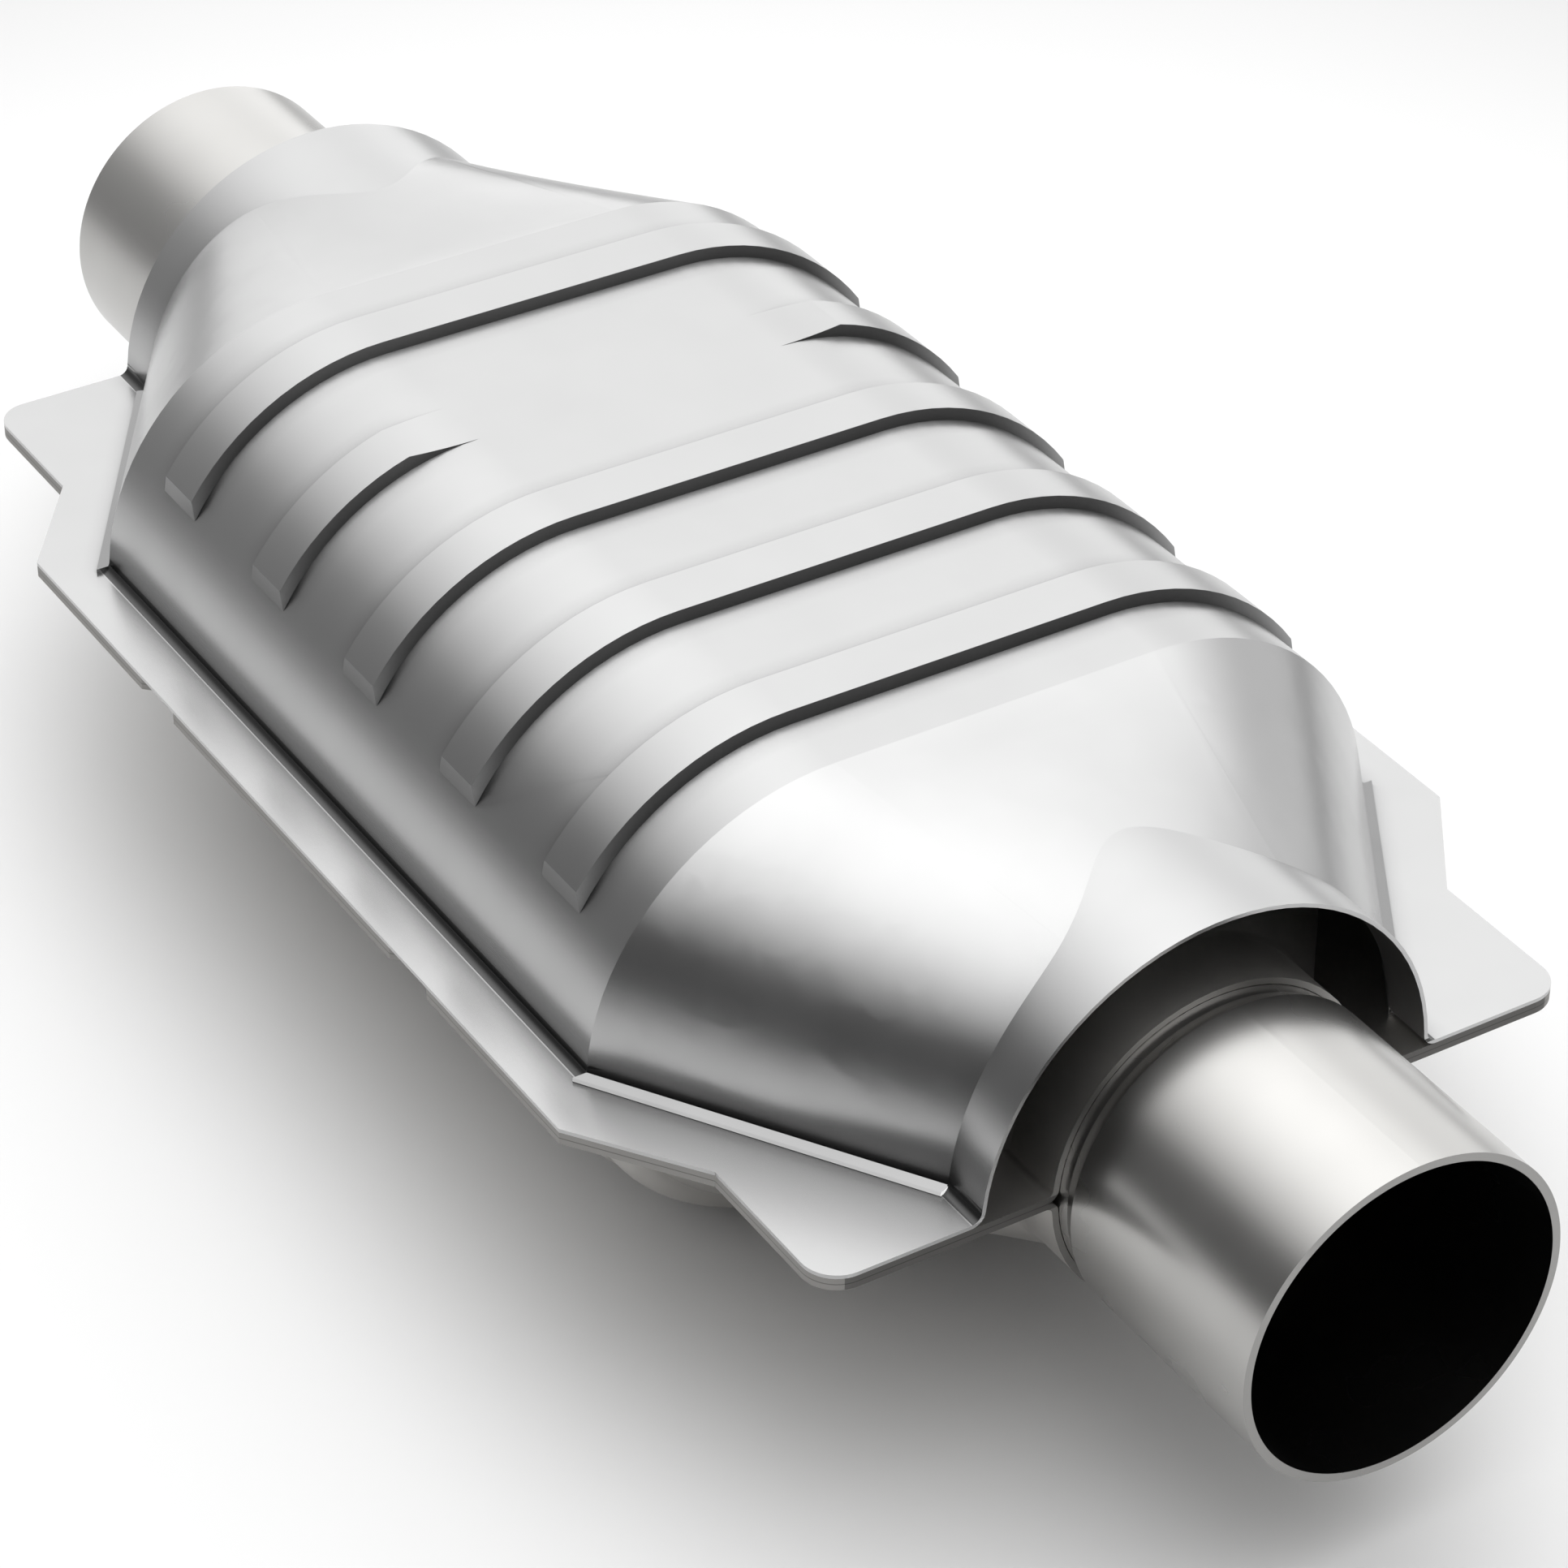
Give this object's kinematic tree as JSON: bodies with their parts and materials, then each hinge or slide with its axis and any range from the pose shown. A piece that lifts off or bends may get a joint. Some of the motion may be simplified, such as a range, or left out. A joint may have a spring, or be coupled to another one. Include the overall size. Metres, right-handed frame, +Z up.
{
  "type": "catalytic converter",
  "caption": "Flat oval catalytic converter with clamshell halves, a ribbed heat shield over the top and a straight pipe at each end.",
  "frame": {"origin": "middle of the length and of the width, in the plane that the lower shell's ribs stand on", "axes": "+X along the pipes towards the inlet, +Y across the flange, +Z up to the heat shield"},
  "size_m": [0.4064, 0.1778, 0.0956],
  "materials": {
    "shield_steel": "smooth bright steel sheet, satin",
    "shell_steel": "pressed stainless sheet, satin",
    "pipe_steel": "drawn stainless tube, semi-bright",
    "brick_ceramic": "matt, coated",
    "mat_fibre": "matt felted fibre",
    "seal_mesh": "knitted wire, dull"
  },
  "bodies": {
    "root": {"heat_shield": "shield_steel", "upper_shell": "shell_steel", "lower_shell": "shell_steel", "inlet_pipe": "pipe_steel", "outlet_pipe": "pipe_steel", "inlet_brick": "brick_ceramic", "outlet_brick": "brick_ceramic", "inlet_mat": "mat_fibre", "outlet_mat": "mat_fibre", "inlet_outer_seal": "seal_mesh", "inlet_inner_seal": "seal_mesh", "outlet_inner_seal": "seal_mesh", "outlet_outer_seal": "seal_mesh"}
  },
  "joints": []
}
